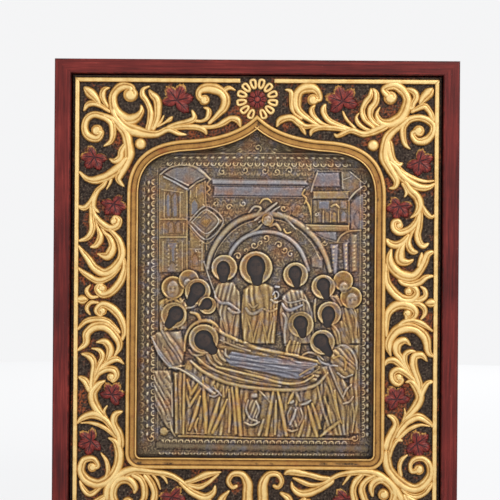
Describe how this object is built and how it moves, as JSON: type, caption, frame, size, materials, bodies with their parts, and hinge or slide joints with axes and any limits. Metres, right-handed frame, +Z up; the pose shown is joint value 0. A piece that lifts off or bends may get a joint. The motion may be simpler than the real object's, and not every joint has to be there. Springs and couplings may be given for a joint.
{
  "type": "framed devotional icon",
  "caption": "Upright framed icon: embossed metal cover with face windows, ogee moulding, gilt scroll carving and red lacquered rim.",
  "frame": {"origin": "middle of the bottom of the frame", "axes": "+Z up, +X to the right seen from the front, the front looks along -Y"},
  "size_m": [0.25, 0.026, 0.297],
  "materials": {
    "lacquer": "dark red lacquer, satin",
    "ground": "dark punched ground, matt",
    "gilding": "aged gilding on carved wood, satin",
    "leaf_red": "maroon paint, satin",
    "cover_metal": "silvered and darkened embossed sheet, worn",
    "painted_panel": "dark painted front, bare back",
    "bare_wood": "bare softwood",
    "brass": "dull brass",
    "steel": "zinc-plated steel"
  },
  "bodies": {
    "frame": {"rail_left": "lacquer", "rail_right": "lacquer", "rail_top": "lacquer", "rail_bottom": "lacquer", "ground_board": "ground", "moulding": "gilding", "relief_left": "gilding", "relief_right": "gilding", "rosette_petals": "gilding", "boss_left": "gilding", "boss_right": "gilding", "leaf_left_1": "leaf_red", "leaf_left_2": "leaf_red", "leaf_left_3": "leaf_red", "leaf_left_4": "leaf_red", "leaf_left_5": "leaf_red", "leaf_left_6": "leaf_red", "leaf_right_1": "leaf_red", "leaf_right_2": "leaf_red", "leaf_right_3": "leaf_red", "leaf_right_4": "leaf_red", "leaf_right_5": "leaf_red", "leaf_right_6": "leaf_red", "rosette_flower": "leaf_red", "metal_cover": "cover_metal", "icon_panel": "painted_panel", "housing_left": "bare_wood", "housing_right": "bare_wood", "housing_top": "bare_wood", "housing_bottom": "bare_wood", "batten_lower": "bare_wood", "batten_upper": "bare_wood", "tack_1": "brass", "tack_2": "brass", "tack_3": "brass", "tack_4": "brass", "tack_5": "brass", "tack_6": "brass", "tack_7": "brass", "tack_8": "brass", "button_screw_lower_left": "steel", "button_screw_lower_right": "steel", "button_screw_upper_left": "steel", "button_screw_upper_right": "steel", "plate_screw_lower": "steel", "plate_screw_upper": "steel", "hanger_plate": "steel"},
    "button_lower_left": {"button_lower_left": "brass"},
    "button_lower_right": {"button_lower_right": "brass"},
    "button_upper_left": {"button_upper_left": "brass"},
    "button_upper_right": {"button_upper_right": "brass"},
    "ring": {"hanging_ring": "steel"}
  },
  "joints": [
    {"name": "button_turn_lower_left", "type": "hinge", "parent": "frame", "child": "button_lower_left", "pos_m": [-0.0894, 0.0074, 0.07258], "axis": [0, 1, 0], "continuous": true},
    {"name": "button_turn_lower_right", "type": "hinge", "parent": "frame", "child": "button_lower_right", "pos_m": [0.0894, 0.0074, 0.07258], "axis": [0, 1, 0], "continuous": true},
    {"name": "button_turn_upper_left", "type": "hinge", "parent": "frame", "child": "button_upper_left", "pos_m": [-0.0894, 0.0074, 0.23242], "axis": [0, 1, 0], "continuous": true},
    {"name": "button_turn_upper_right", "type": "hinge", "parent": "frame", "child": "button_upper_right", "pos_m": [0.0894, 0.0074, 0.23242], "axis": [0, 1, 0], "continuous": true},
    {"name": "ring_swing", "type": "hinge", "parent": "frame", "child": "ring", "pos_m": [0, 0.0087, 0.2683], "axis": [1, 0, 0], "range_deg": [-5, 180]}
  ]
}
